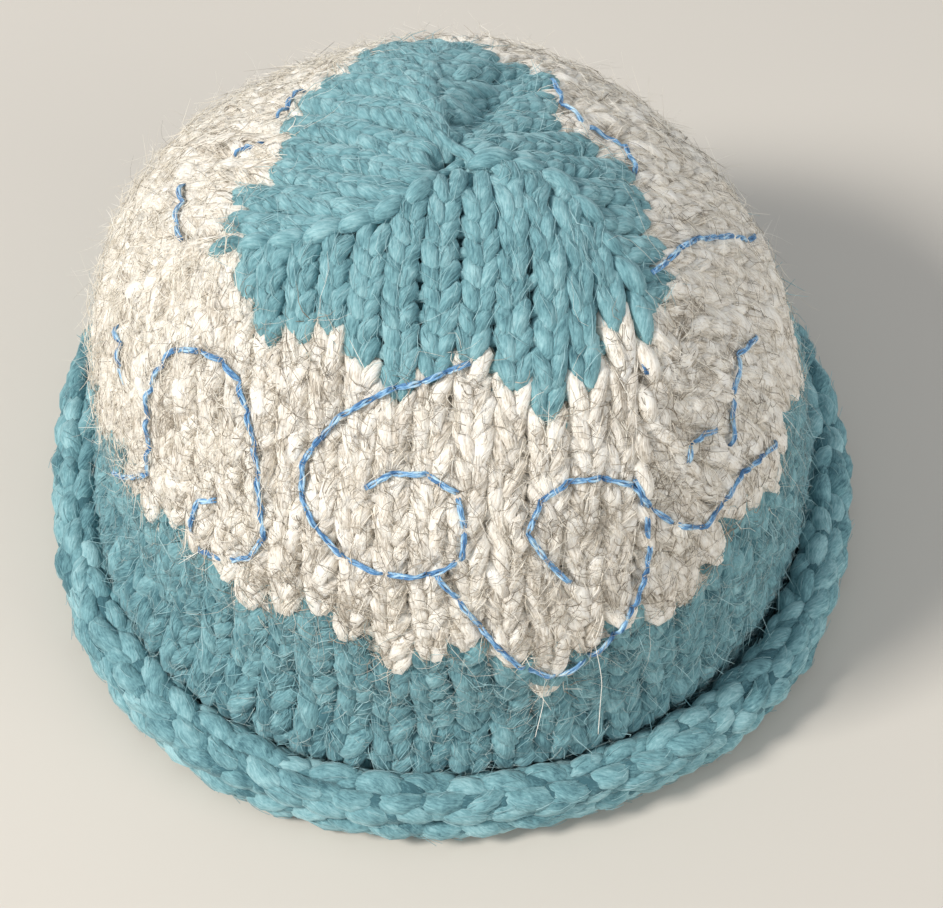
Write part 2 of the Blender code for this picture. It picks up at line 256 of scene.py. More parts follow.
def sheet(azimuth, arc, lift, tone):
    """A plain sheet under the strands, on a grid of azimuths that closes on itself and of arcs."""
    turn, down = np.meshgrid(azimuth, arc, indexing="ij")
    index = np.arange(turn.size).reshape(turn.shape)
    following = np.roll(index, -1, axis=0)
    quads = np.stack([index[:, :-1], index[:, 1:], following[:, 1:], following[:, :-1]], axis=-1)
    return patches(fabric_point(turn, down, lift).reshape(-1, 3), quads, tone)


def add_piece(name, strands, material, node=None):
    """Joins sets of strands into one piece, which rides on the hat and may stand for a CAD node. What would
    sink into the floor is flattened just above it."""
    starts = np.cumsum([0] + [len(part["points"]) for part in strands[:-1]])
    corners = np.concatenate([part["corners"] + start for part, start in zip(strands, starts)])
    points, sizes, fibre, tone = [np.concatenate([part[key] for part in strands])
                                  for key in ("points", "sizes", "fibre", "tone")]
    points[:, 2] = np.maximum(points[:, 2], FLOOR_CLEAR)
    mesh = bpy.data.meshes.new(name)
    mesh.vertices.add(len(points))
    mesh.vertices.foreach_set("co", points.astype(np.float32).ravel())
    mesh.loops.add(len(corners))
    mesh.loops.foreach_set("vertex_index", corners.astype(np.int32))
    mesh.polygons.add(len(sizes))
    mesh.polygons.foreach_set("loop_start", np.concatenate([[0], np.cumsum(sizes)[:-1]]).astype(np.int32))
    mesh.update(calc_edges=True)
    mesh.shade_smooth()
    mesh.attributes.new("fibre", "FLOAT_VECTOR", "POINT").data.foreach_set("vector", fibre.ravel())
    mesh.attributes.new("tone", "FLOAT", "POINT").data.foreach_set("value", tone.astype(np.float32))
    mesh.materials.append(material)
    piece = bpy.data.objects.new(name, mesh)
    bpy.context.scene.collection.objects.link(piece)
    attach(piece, "root")
    if node:
        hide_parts(node)
    return piece


def linear(hex_colour):
    """An sRGB hex colour as linear light: each channel c is ((c + 0.055) / 1.055) to the power 2.4, or
    c / 12.92 where it is dark."""
    channels = [int(hex_colour[k:k + 2], 16) / 255 for k in (1, 3, 5)]
    return tuple(c / 12.92 if c <= 0.04045 else ((c + 0.055) / 1.055) ** 2.4 for c in channels) + (1.0,)


def node(tree, kind, settings=None, values=None, links=None):
    """Adds a shader node, sets its settings and input values by name or number, and links sockets into it."""
    made = tree.nodes.new("ShaderNode" + kind)
    for name, value in (settings or {}).items():
        setattr(made, name, value)
    for name, value in (values or {}).items():
        made.inputs[name].default_value = value
    for name, socket in (links or {}).items():
        tree.links.new(socket, made.inputs[name])
    return made


def new_material(name, values):
    """A material and its shader, whose inputs have the given values."""
    material = bpy.data.materials.new(name)
    material.use_nodes = True
    shader = material.node_tree.nodes["Principled BSDF"]
    for socket, value in values.items():
        shader.inputs[socket].default_value = value
    return material, shader


TONE_SHARE = 0.35


def yarn_material(name, steps, across, along, relief, roughness, sheen, tint, streaks, patchy, glow):
    """Spun yarn. Fibres are noise in the yarn's own place, much finer across the strand than along it. They
    shade the colour between the given steps and lift the surface by the relief in metres. Across and along
    are the fibre pattern's sizes in mm. Patches of about 3 mm and each strand's tone shift the colour, and
    the glow is the share of light that passes under the surface of the soft strand."""
    material, shader = new_material(name, {
        "Roughness": roughness, "Specular IOR Level": 0.25, "Sheen Weight": sheen, "Sheen Roughness": 0.45,
        "Sheen Tint": linear(tint), "Subsurface Weight": glow, "Subsurface Radius": (1.0, 1.0, 1.0),
        "Subsurface Scale": 0.0012})
    tree = material.node_tree
    place = node(tree, "Attribute", {"attribute_name": "fibre"}).outputs["Vector"]
    tone = node(tree, "Attribute", {"attribute_name": "tone"}).outputs["Fac"]
    drawn = node(tree, "Mapping", values={"Scale": (1 / across, 1 / across, 1 / along)},
                 links={"Vector": place}).outputs["Vector"]
    fibres = node(tree, "TexNoise", values={"Scale": 1.0, "Detail": 3.0, "Roughness": 0.6},
                  links={"Vector": drawn}).outputs["Fac"]
    blotches = node(tree, "TexNoise", values={"Scale": 0.3, "Detail": 2.0},
                    links={"Vector": place}).outputs["Fac"]
    values, links = {2: 0.5 - (streaks + patchy) / 2}, {}
    for share, added in ((streaks, fibres), (TONE_SHARE, tone), (patchy, blotches)):
        mixed = node(tree, "Math", {"operation": "MULTIPLY_ADD"}, {1: share, **values}, {0: added, **links})
        values, links = {}, {2: mixed.outputs[0]}
    ramp = node(tree, "ValToRGB", links={"Fac": mixed.outputs[0]})
    for position, colour in steps:
        ramp.color_ramp.elements.new(position).color = linear(colour)
    ramp.color_ramp.elements.remove(ramp.color_ramp.elements[0])
    ramp.color_ramp.elements.remove(ramp.color_ramp.elements[-1])
    tree.links.new(ramp.outputs["Color"], shader.inputs["Base Color"])
    bump = node(tree, "Bump", values={"Strength": 1.0, "Distance": relief},
                links={"Height": fibres})
    tree.links.new(bump.outputs["Normal"], shader.inputs["Normal"])
    return material


# Single-ply merino wool, softly spun and felted by wear, looks matt and streaky, with fine fibres that turn
# slowly round the strand. A real fibre is 0.02 mm thick, so they are drawn 0.45 mm wide to show.
teal_wool = yarn_material("teal_merino_wool", ((0.18, "#436b75"), (0.5, "#78a5ad"), (0.8, "#a0c8ce")),
                          across=0.45, along=2.0, relief=0.0003, roughness=0.95, sheen=0.5, tint="#bcd8dc",
                          streaks=0.85, patchy=0.7, glow=0.2)

# The bumps' reach to either side is a share of a stitch, and their bow and tilt are shares of a line
ROLL_LINE = 0.004
BUMP_REACH = 0.53
BUMP_BOW = 0.16
BUMP_TILT = 0.28
BUMP_LIFT = -0.0014
BUMP_RISE = -0.0012
BUMP_YARN = 0.0028
BUMP_TONE_SPREAD = 0.25

# How far each of these strays, and the tilt's slow wave along a line and from line to line
BUMP_STRAY = dict(column=0.07, reach=0.09, tilt=0.6, line=0.1, lift=0.0003, yarn=0.08)
DRIFT_STITCHES = 7.3
DRIFT_LINE = 1.9

# Behind the gaps lie bumps, which run on past their ends, and a sheet. Both are drawn darker, as painted
# shade for the shadow in the gaps
UNDER_SINK = 0.001
UNDER_END = 1.2
UNDER_PAINTED_SHADE = -0.6
ROLL_BACKING_LIFT = -0.0016
ROLL_BACKING_PAINTED_SHADE = -0.8
ROLL_BACKING_LAP = 0.004
YARN_TWIST = 0.18

bump_lines = int((ARC[-1] - FOOT_ARC) / ROLL_LINE)
bump_grid = np.meshgrid(np.arange(bump_lines), np.arange(STITCHES_ROUND), indexing="ij")
bump_line, bump_stitch = np.reshape(bump_grid, (2, -1, 1))
bump_draws = np.clip(np.random.default_rng(11).normal(0, 1, (len(BUMP_STRAY), len(bump_line), 1)), -1.8, 1.8)


def purl_bumps(chosen, s, shift=0.0, sink=0.0):
    """The bumps of the purl side, one for each stitch and line, each line half a stitch on from the last. One
    runs from s = -1 to 1, bows as one less s squared, up and down in turn, tilts as s, dips at its ends, and
    has the root of one less 0.72 s squared as its radius, a plump oval. The shift is a share of a stitch and
    the sink a depth. Returns the path, the outward direction and the radius."""
    line, stitch = bump_line[chosen], bump_stitch[chosen]
    stray = {name: spread * draw[chosen] for (name, spread), draw in zip(BUMP_STRAY.items(), bump_draws)}
    column = stitch + shift + 0.5 * (line % 2) + stray["column"] + BUMP_REACH * (1 + stray["reach"]) * s
    drift = np.sin(2 * np.pi * stitch / DRIFT_STITCHES + DRIFT_LINE * line)
    tilt = BUMP_TILT * (drift + stray["tilt"])
    bow = BUMP_BOW * (1 - s * s) * (1 - 2 * (line % 2))
    arc = FOOT_ARC + ROLL_LINE * (line + 0.5 + tilt * s + bow + stray["line"])
    lift = BUMP_LIFT + BUMP_RISE * (1 - s * s) + stray["lift"] + sink
    radius = BUMP_YARN * (1 + stray["yarn"]) * np.sqrt(np.maximum(1 - 0.72 * s * s, 0.1))
    return *fabric_path(2 * np.pi * column / STITCHES_ROUND, arc, lift), radius


all_bumps = slice(None)
bumps = purl_bumps(all_bumps, np.sin(np.linspace(-np.pi / 2, np.pi / 2, 7)))
under_bumps = purl_bumps(all_bumps, np.linspace(-UNDER_END, UNDER_END, 5), shift=0.5, sink=UNDER_SINK)
roll_backing = sheet(np.radians(np.arange(0, 360, 4)), np.linspace(FOOT_ARC - ROLL_BACKING_LAP, ARC[-1], 30),
                     ROLL_BACKING_LIFT, ROLL_BACKING_PAINTED_SHADE)
add_piece("rolled_brim_knitting", [
    tubes(*bumps, sides=8, tone=BUMP_TONE_SPREAD * bump_draws[4], twist=YARN_TWIST),
    tubes(*under_bumps, sides=6, tone=BUMP_TONE_SPREAD * bump_draws[3] + UNDER_PAINTED_SHADE, twist=YARN_TWIST),
    roll_backing], teal_wool, "rolled_brim")

# The lower band. The same wool goes on up the head in plain jersey, knit side out, as rows of V stitches.
# Its top rows share their stitches with the cream yarn, which gives the zigzag.
CROWN_STITCH = 0.0082
COLUMN_SHIFT = 0.003
CROWN_REACH = 0.046
CORNER_BOW = 0.0135

# Rows from the closure, and the ends of a wedge's columns below the crown
TIP_ROW = 11
BOW_END_ROW = 20
FOOT_ROW = 32
BAND_TIP_ROW = 25
FIRST_COLUMN = -14
LAST_COLUMN = 6

# Rows by which the band reaches further up round the hat, at an azimuth in degrees
BAND_RISE = ((-180, 0), (-95, -1.2), (-74, -0.8), (-62, 0), (-52, 1), (-42, 0.3), (-34, 1), (34, 1), (42, 2),
             (58, 2.6), (72, 2), (105, 2), (150, 0), (180, 0))
TIP_COLUMN = -0.5
TOOTH_STITCHES = 4

# Where the crown's teeth are shallower, and by what share
SHALLOW_TEETH_AZIMUTH = np.radians(-108.0)
SHALLOW_TEETH_DEGREES = 25
SHALLOW_TEETH_SHARE = 0.6

# A single cream stitch that lies beyond the zigzag, as azimuth and arc
STRAY_CREAM = (np.radians(17.0), 0.131)

# Where the closure is, to the right of the axis and in front of it, and how much it leaves clear
CLOSURE_PLACE = (0.0017, 0.0007)
CLOSURE_CLEAR = 0.0068

# A loop runs on into its neighbours by the lap in radians, swells on its legs, and is moved by the tension
LOOP_RINGS = 12
LOOP_LAP = 0.12
LEG_SWELL = 0.18
COLUMN_SWAY = 0.1
TENSION_MOVES = dict(column=0.12, reach=0.5, row=0.25, lift=0.0012, yarn=0.5)
TENSION_WAVES = (3.7, 2.2, 7.9)
TENSION_ROWS = 64

# The backing patches' reach as a share of a stitch, and their tone, which is painted shade for the shadow
# between the loops
PATCH_REACH = 0.53
PATCH_PAINTED_SHADE = -0.6

# Where the crown's teeth end round the hat, as azimuth in degrees and arc in millimetres
CROWN_TIPS = ((-180, 53), (-165, 60), (-150, 60), (-142, 54), (-130, 47), (-122, 45), (-106, 43), (-94, 41),
              (-86, 42), (-75, 47), (-60, 51), (-41, 55), (-12, 56), (12, 54.5), (24, 55.5), (40, 55),
              (55, 50), (70, 46), (81, 51), (93, 54), (102, 49), (120, 45), (131, 42), (149, 45), (160, 50),
              (170, 53), (180, 51))

# Routes of the three lines between wedges, as azimuth in degrees at an arc in millimetres: between the front
# wedge and the right one, between the right and the left one at the back, and between the left and the front
WEDGE_LINES = (
    ((0, 100), (12, 97), (24, 92), (34, 77), (44, 68), (58, 54), (74, 42), (85, 38), (110, 35)),
    ((0, 170), (10, 189), (22, 193), (36, 189), (47, 184), (60, 178), (85, 168), (110, 160)),
    ((0, 340), (6, 335), (16, 327), (31, 308), (45, 295), (59, 286), (77, 283), (90, 281), (110, 280)),
)

# The loops of an area: lean, pinch and reach as shares of a stitch, and the backing's lift in metres
# The band's tone of -0.4 is painted shade: the same wool as the crown, drawn darker where the wall lies in
# shade
BAND_LOOP = dict(lean=0.25, pinch=0.02, reach=0.88, base=-0.0033, depth=0.0011, tilt=0.0007, uneven=0.4,
                 seed=21, yarn=0.0022, tone=-0.4, spread=0.45, sides=8, backing=-0.0042)


def column_angle(column, arc):
    """Angle of a column from its wedge's zero line, and whether it is on the crown, where columns keep one
    width and run side by side. Further down all sixty fill the round evenly."""
    radius = np.maximum(np.interp(arc, ARC, RADIUS), 0.001)
    even = 2 * np.pi * radius / STITCHES_ROUND
    return (column * np.maximum(CROWN_STITCH, even) - COLUMN_SHIFT) / radius, even < CROWN_STITCH


def wedge_line(line, arc):
    """Azimuth of a line between wedges, read from its route. Line 0 is right of wedge 0, and line -1 left."""
    routes = [np.interp(arc * 1000, *zip(*route)) for route in WEDGE_LINES]
    return np.radians(np.choose((line % WEDGES).astype(int), routes) + 360 * np.floor(line / WEDGES))


def knitted_place(wedge, column, row):
    """Azimuth and arc of a point of the knitting. The column counts stitches from near the middle of its
    wedge and the row counts rows from the closure. A row is a share of the way to the crown's tips or from
    them to the foot, and bows down as the square of the distance from its wedge's middle."""
    arc = np.interp(row, [0, TIP_ROW, FOOT_ROW], [0, CROWN_REACH, FOOT_ARC])
    bow = np.where(row < TIP_ROW, row / TIP_ROW, 1 - smooth_step(row, TIP_ROW, BOW_END_ROW))
    for _ in range(3):
        angle, on_crown = column_angle(column, arc)
        azimuth = wedge * WEDGE_ANGLE + angle
        left, right = wedge_line(wedge - 1, arc), wedge_line(wedge, arc)
        azimuth = np.where(on_crown, np.clip(azimuth, left, right), azimuth)
        tip = 0.001 * np.interp(np.degrees(wrapped(azimuth)), *zip(*CROWN_TIPS))
        arc = np.where(row < TIP_ROW, tip * row / TIP_ROW,
                       tip + (FOOT_ARC - tip) * (row - TIP_ROW) / (FOOT_ROW - TIP_ROW))
        from_middle = np.clip((2 * azimuth - left - right) / (right - left), -1, 1)
        arc = arc + CORNER_BOW * bow * from_middle**2
    return azimuth, arc


def yarn_tension(column, row, seed):
    """Hand tension, which drifts along each row: the mean of sine waves of unlike lengths, with phases of the
    row's own. It doesn't jump between one stitch and the next, so the yarn stays whole."""
    phases = np.random.default_rng(seed).uniform(0, 2 * np.pi, (TENSION_ROWS, len(TENSION_WAVES)))
    chosen = phases[np.clip(np.floor(row).astype(int), 0, TENSION_ROWS - 1)]
    return np.mean([np.sin(wave * column + chosen[..., k]) for k, wave in enumerate(TENSION_WAVES)], axis=0)


def loops_of_yarn(chosen, turns, shape):
    """The middle line of a loop of jersey for each chosen stitch. With t going once round, the column grows
    steadily, plus a lean times sin 2t that gives narrow necks and wide heads. The row swings as cos t, and
    the lift is greatest on the legs, as minus cos 2t. Tension moves each a little. Returns the path, the
    outward direction and the front share, 1 on the legs and -1 on heads and feet."""
    wedge, column, row = wall[:, chosen, None]
    steady = column + turns / (2 * np.pi) - 0.5
    drift = yarn_tension(steady + WEDGE_STITCHES * wedge, row, shape["seed"])
    other = yarn_tension(1.3 * steady + WEDGE_STITCHES * wedge, row + 30, shape["seed"])
    uneven = shape["uneven"]
    lean = shape["lean"] * (1 + uneven * drift)
    sway = COLUMN_SWAY * np.sin(0.9 * row + 2.1 * column + 5 * wedge)
    at_column = (steady + lean * np.sin(2 * turns) + shape["pinch"] * np.sin(turns)
                 + TENSION_MOVES["column"] * uneven * other + sway)
    reach = shape["reach"] * (1 + TENSION_MOVES["reach"] * uneven * other)
    at_row = row + reach * np.cos(turns) + TENSION_MOVES["row"] * uneven * drift
    front = -np.cos(2 * turns) + 0 * column
    lift = (shape["base"] + shape["depth"] * front + shape["tilt"] * np.cos(turns)
            + TENSION_MOVES["lift"] * uneven * other)
    return *fabric_path(*knitted_place(wedge, at_column, at_row), lift), front


def stitch_places():
    """Wedge, column and row of every stitch of the wall. A row of the crown holds only the columns that fit
    between its wedge's two lines, and a row below it all twenty. None lies at the closure."""
    grid = np.meshgrid(np.arange(WEDGES), np.arange(FIRST_COLUMN - 4.5, LAST_COLUMN + 7),
                       np.arange(FOOT_ROW) + 0.5, indexing="ij")
    wedge, column, row = np.reshape(grid, (3, -1))
    arc = knitted_place(wedge, column, row)[1]
    angle, on_crown = column_angle(column, arc)
    azimuth = wedge * WEDGE_ANGLE + angle
    between_lines = (azimuth > wedge_line(wedge - 1, arc)) & (azimuth < wedge_line(wedge, arc))
    fits = np.where(on_crown, between_lines, (column > FIRST_COLUMN) & (column < LAST_COLUMN))
    right, front = arc * np.sin(azimuth), arc * np.cos(azimuth)
    fits = fits & (np.hypot(right - CLOSURE_PLACE[0], front - CLOSURE_PLACE[1]) > CLOSURE_CLEAR)
    return np.stack([wedge, column, row])[:, fits]


def stitch_strands(chosen, shape):
    """One short strand of yarn for each chosen stitch, from the foot between two stitches to the next, and
    plumpest on the legs. Tension thins and swells it, and spreads its tone."""
    turns = np.linspace(-LOOP_LAP, 2 * np.pi + LOOP_LAP, LOOP_RINGS + 1)
    path, outward, front = loops_of_yarn(chosen, turns, shape)
    wedge, column, row = wall[:, chosen, None]
    tension = yarn_tension(column + WEDGE_STITCHES * wedge + turns / 2 / np.pi, row, shape["seed"] + 1)
    thickness = shape["yarn"] * (1 + LEG_SWELL * front + TENSION_MOVES["yarn"] * shape["uneven"] * tension)
    tone = shape["tone"] + shape["spread"] * tension
    return tubes(path, outward, thickness, shape["sides"], tone, twist=YARN_TWIST)


def stitch_backing(chosen, shape):
    """The purl side behind the loops, which closes the view between them: a patch for each stitch, darkened
    as painted shade for the shadow between the loops, a little larger than the stitch so that it meets its
    neighbours."""
    side = PATCH_REACH * np.array([-1, 1, 1, -1])
    down = PATCH_REACH * np.array([-1, -1, 1, 1])
    wedge, column, row = wall[:, chosen, None]
    points = fabric_point(*knitted_place(wedge, column + side, row + down), shape["backing"]).reshape(-1, 3)
    return patches(points, np.arange(len(points)).reshape(-1, 4)[:, ::-1], PATCH_PAINTED_SHADE)


def add_knitting(name, chosen, shape, material, node):
    """The chosen stitches of the wall with their backing, as a piece that stands for a CAD node."""
    add_piece(name, [stitch_strands(chosen, shape), stitch_backing(chosen, shape)], material, node)


wall = stitch_places()
wall_column, wall_row = wall[1:]
wall_azimuth, wall_arc = knitted_place(*wall)
steps_from_tip = np.abs(wrapped(wall_column - TIP_COLUMN, TOOTH_STITCHES))
from_shallow = np.degrees(wrapped(wall_azimuth - SHALLOW_TEETH_AZIMUTH))
tooth = 1 - SHALLOW_TEETH_SHARE * bell(from_shallow, SHALLOW_TEETH_DEGREES)
in_crown = wall_row < TIP_ROW - steps_from_tip * tooth
band_rise = np.interp(np.degrees(wrapped(wall_azimuth)), *zip(*BAND_RISE))
in_band = ~in_crown & (wall_row > BAND_TIP_ROW - band_rise - steps_from_tip)
stray_across = wrapped(wall_azimuth - STRAY_CREAM[0]) * BAND_RADIUS
in_band[np.argmin(np.hypot(stray_across, wall_arc - STRAY_CREAM[1]))] = False
in_cream = ~in_crown & ~in_band

add_knitting("lower_band_knitting", in_band, BAND_LOOP, teal_wool, "lower_band")

# The cream band. An undyed alpaca and mohair yarn, loosely spun, lumpy and hairy, in the same jersey.
# It is knitted into the teal along both zigzags.
CREAM_LOOP = dict(lean=0.26, pinch=0.02, reach=1.14, base=-0.003, depth=0.0012, tilt=0.0011, uneven=0.48,
                  seed=31, yarn=0.0018, tone=0.0, spread=0.35, sides=6, backing=-0.0031)

# Undyed alpaca mixes hairs from brown to near white, so the yarn looks mottled along its length, and warm
# where light passes through its pale fibres. They are drawn 0.45 mm wide, coarser than real ones, to show.
cream_alpaca = yarn_material("cream_alpaca_yarn", ((0.14, "#8e8476"), (0.32, "#cec6b9"), (0.48, "#ede7dd"),
                                                   (0.62, "#faf6ed"), (0.84, "#fffdf7")),
                             across=0.45, along=4.0, relief=0.0004, roughness=0.95, sheen=0.5, tint="#fff8ea",
                             streaks=1.1, patchy=0.7, glow=0.35)
add_knitting("cream_band_knitting", in_cream, CREAM_LOOP, cream_alpaca, "cream_band")

# The crown. Teal jersey again, in three wedges that turn as they narrow. Each row loses a stitch on either
# side of the lines between wedges.
CROWN_LOOP = dict(lean=0.22, pinch=0.04, reach=0.94, base=-0.003, depth=0.0012, tilt=0.0009, uneven=0.22,
                  seed=41, yarn=0.0018, tone=0.0, spread=0.3, sides=8, backing=-0.0042)
add_knitting("crown_knitting", in_crown, CROWN_LOOP, teal_wool, "crown")

# The decrease lines. Where two wedges meet, the stitches knitted together pile up into a raised chain of
# plump ovals, teal on the crown and cream below it.
CHAIN_START = 0.011
CHAIN_END = 0.106
CHAIN_PITCH = 0.007
CHAIN_LENGTH = 0.0092
CHAIN_YARN = 0.0023
CHAIN_LIFT = -0.0021
CHAIN_ARCH = 0.001
CHAIN_LAP = 0.0018
CHAIN_SLANT = 0.0032
CHAIN_TONE_SPREAD = 0.15
BACK_CHAIN_LINE = 1
BACK_CHAIN_SHARE = 0.85
BACK_CHAIN_DROP = 0.0004
CHAIN_TEAL_END = 0.06

# How far the ovals stray
CHAIN_STRAY = dict(length=0.1, yarn=0.08, slant=0.0016, across=0.0005, lift=0.0003)


def chain_strands(start, end, seed):
    """Ovals along the three lines between wedges. Each is a short strand whose radius is the root of a half
    sine wave. It arches as another, lies a little aslant of the line, and laps with its lower end over the
    next one's upper end. The line at the back is thinner and lies deeper."""
    count = int((end - start) / CHAIN_PITCH)
    grid = np.meshgrid(start + CHAIN_PITCH * np.arange(count), np.arange(WEDGES), indexing="ij")
    along, line = np.reshape(grid, (2, -1, 1))
    size, turn, side, rise = np.random.default_rng(seed).uniform(-1, 1, (4, len(along), 1))
    share = np.linspace(0, 1, 11)
    arc = along + (share - 0.5) * CHAIN_LENGTH * (1 + CHAIN_STRAY["length"] * size)
    slant = (share - 0.5) * (CHAIN_SLANT + CHAIN_STRAY["slant"] * turn) + CHAIN_STRAY["across"] * side
    azimuth = wedge_line(line, arc) + slant / np.interp(arc, ARC, RADIUS)
    at_back = line == BACK_CHAIN_LINE
    lift = CHAIN_LIFT + CHAIN_ARCH * np.sin(np.pi * share) + CHAIN_LAP * (share - 0.5)
    lift = lift + CHAIN_STRAY["lift"] * rise - BACK_CHAIN_DROP * at_back
    radius = CHAIN_YARN * (1 + CHAIN_STRAY["yarn"] * size) * np.sqrt(np.sin(np.pi * (0.04 + 0.92 * share)))
    radius = radius * np.where(at_back, BACK_CHAIN_SHARE, 1.0)
    return tubes(*fabric_path(azimuth, arc, lift), radius, 8, CHAIN_TONE_SPREAD * rise, twist=YARN_TWIST)


add_piece("crown_decrease_chains", [chain_strands(CHAIN_START, CHAIN_TEAL_END, 51)], teal_wool)
add_piece("cream_decrease_chains", [chain_strands(CHAIN_TEAL_END, CHAIN_END, 52)], cream_alpaca)

# The closure. The yarn's end is drawn through the last stitches and pulled tight, so they meet as short
# strands that dive into a slot. One strand bridges it, which leaves two small dark holes, and the end lies
# behind them.
GATHERED = 13
GATHERED_LENGTH = 0.0085
GATHERED_YARN = 0.0015
GATHERED_LIFT = -0.0018
GATHERED_DIVE = 0.0045
GATHERED_TUCK = 0.0018
SLOT_HEADING = np.radians(49.0)
SLOT_HALF_LENGTH = 0.0064
SLOT_HALF_WIDTH = 0.0036

# The bridge and the yarn's end cross the slot. The columns are millimetres to the right and to the front.
BRIDGE = ((-3.6, 6.8), (-0.9, 3.7), (1.7, 0.7), (4.3, -2.3), (7.0, -5.3))
YARN_END = ((-7.0, -11.0), (-4.4, -9.2), (-1.2, -7.2), (2.4, -5.2), (5.4, -3.4), (8.0, -1.0))
BRIDGE_LIFT = -0.0032
YARN_END_LIFT = -0.0008
CROSSING_YARN = 0.0013
CROSSING_DIVE = 0.0035


def closure_strand(right, front, lift, radius, tone):
    """Strands over the closure through points to the right and to the front of the axis."""
    azimuth, arc = np.arctan2(right, front), np.hypot(right, front)
    return tubes(*fabric_path(azimuth, arc, lift), radius + 0 * arc, 8, tone, twist=YARN_TWIST)


def gathered_strands(seed):
    """Strands that run out from the rim of the slot, an ellipse, away from its middle. They dive towards it
    as the cube of what is left of their length, and tuck in at the far end as the cube of their length."""
    rng = np.random.default_rng(seed)
    turn = 2 * np.pi * (np.arange(GATHERED) + rng.uniform(-0.2, 0.2, GATHERED))[:, None] / GATHERED
    share = np.linspace(0, 1, 9)
    out = GATHERED_LENGTH * (1 + 0.15 * rng.uniform(-1, 1, (GATHERED, 1))) * share
    along = (SLOT_HALF_LENGTH + out) * np.cos(turn)
    across = (SLOT_HALF_WIDTH + out) * np.sin(turn)
    right = CLOSURE_PLACE[0] + along * np.sin(SLOT_HEADING) + across * np.cos(SLOT_HEADING)
    front = CLOSURE_PLACE[1] + along * np.cos(SLOT_HEADING) - across * np.sin(SLOT_HEADING)
    lift = GATHERED_LIFT - GATHERED_DIVE * (1 - share) ** 3 - GATHERED_TUCK * share**3
    radius = GATHERED_YARN * (0.75 + 0.4 * np.sin(np.pi * share))
    return closure_strand(right, front, lift, radius, 0.3 * rng.uniform(-1, 1, (GATHERED, 1)))


def crossing_strand(route, lift):
    """A strand over the closure: a curve through its route's points, which dives in at both of its ends as
    the cube of the distance from its middle."""
    flat = smooth_line(route, 5) * 0.001
    share = np.linspace(0, 1, len(flat))
    lift = lift - CROSSING_DIVE * np.abs(2 * share - 1) ** 3
    return closure_strand(flat[None, :, 0], flat[None, :, 1], lift, CROSSING_YARN, 0 * share)


add_piece("crown_closure", [gathered_strands(71), crossing_strand(BRIDGE, BRIDGE_LIFT),
                            crossing_strand(YARN_END, YARN_END_LIFT)], teal_wool)

# The embroidery. Free scrolls worked over the cream band after knitting, in stranded blue cotton laid as a
# line of back stitches. Each route is its points' azimuth in degrees and arc in millimetres.
THREAD_STITCH = 0.007
THREAD_PLIES = 4
THREAD_PLY = 0.0003
THREAD_HALF_WIDTH = 0.00042
THREAD_HALF_HEIGHT = 0.0002
THREAD_TURN = 0.026
THREAD_LIFT = 0.0005
THREAD_WAVE = 0.0003
THREAD_DIP = 0.0009
THREAD_DIP_HALF_WIDTH = 0.0008
THREAD_STRAY = 0.00035
THREAD_RING = 0.0008
SCROLLS = (
    ((-76, 93), (-74, 92), (-72, 96), (-70, 98), (-67, 100)),
    ((-65, 129), (-56, 116), (-54, 107), (-58, 98), (-60, 89), (-59, 77), (-52, 71), (-44, 70), (-35, 79),
     (-30, 90), (-28, 98), (-28, 104), (-30, 109), (-33, 113)),
    ((-35, 115), (-38, 118), (-40, 118)),
    ((-42, 115), (-42, 111), (-42, 106), (-41, 103), (-38, 100)),
    ((11, 47), (0, 51), (-10, 56), (-19, 65), (-24, 78), (-21, 86), (-12, 96), (-2, 96), (6, 90), (6, 76),
     (-3, 71), (-11, 78)),
    ((2, 94), (7, 103), (12, 116), (19, 126), (27, 119), (31, 112), (34, 106), (36, 100), (37, 96), (38, 91),
     (38, 85), (38, 79)),
    ((23, 98), (20, 92), (18, 84), (21, 76), (28, 74), (36, 79), (40, 89), (47, 100), (57, 97), (70, 104)),
    ((81, 84), (74, 79), (66, 82), (59, 90)),
    ((58, 84), (55, 82), (51, 81), (49, 84)),
    ((71, 50), (79, 53), (88, 57), (95, 65), (102, 77), (110, 93)),
    ((53, 58), (50, 62)),
    ((-97, 65), (-90, 63), (-88, 65), (-79, 63)),
    ((-104, 53), (-109, 47)),
    ((-120, 49), (-130, 51), (-134, 52)),
    ((152, 48), (136, 41), (120, 51), (111, 49)),
)


def evenly_spaced(points, spacing):
    """A line's points moved along it to lie the same distance apart, and how far along it each is."""
    length = np.concatenate([[0.0], np.cumsum(np.linalg.norm(np.diff(points, axis=0), axis=1))])
    even = np.linspace(0, length[-1], max(int(length[-1] / spacing), 4))
    return np.stack([np.interp(even, length, points[:, k]) for k in range(points.shape[1])], axis=1), even


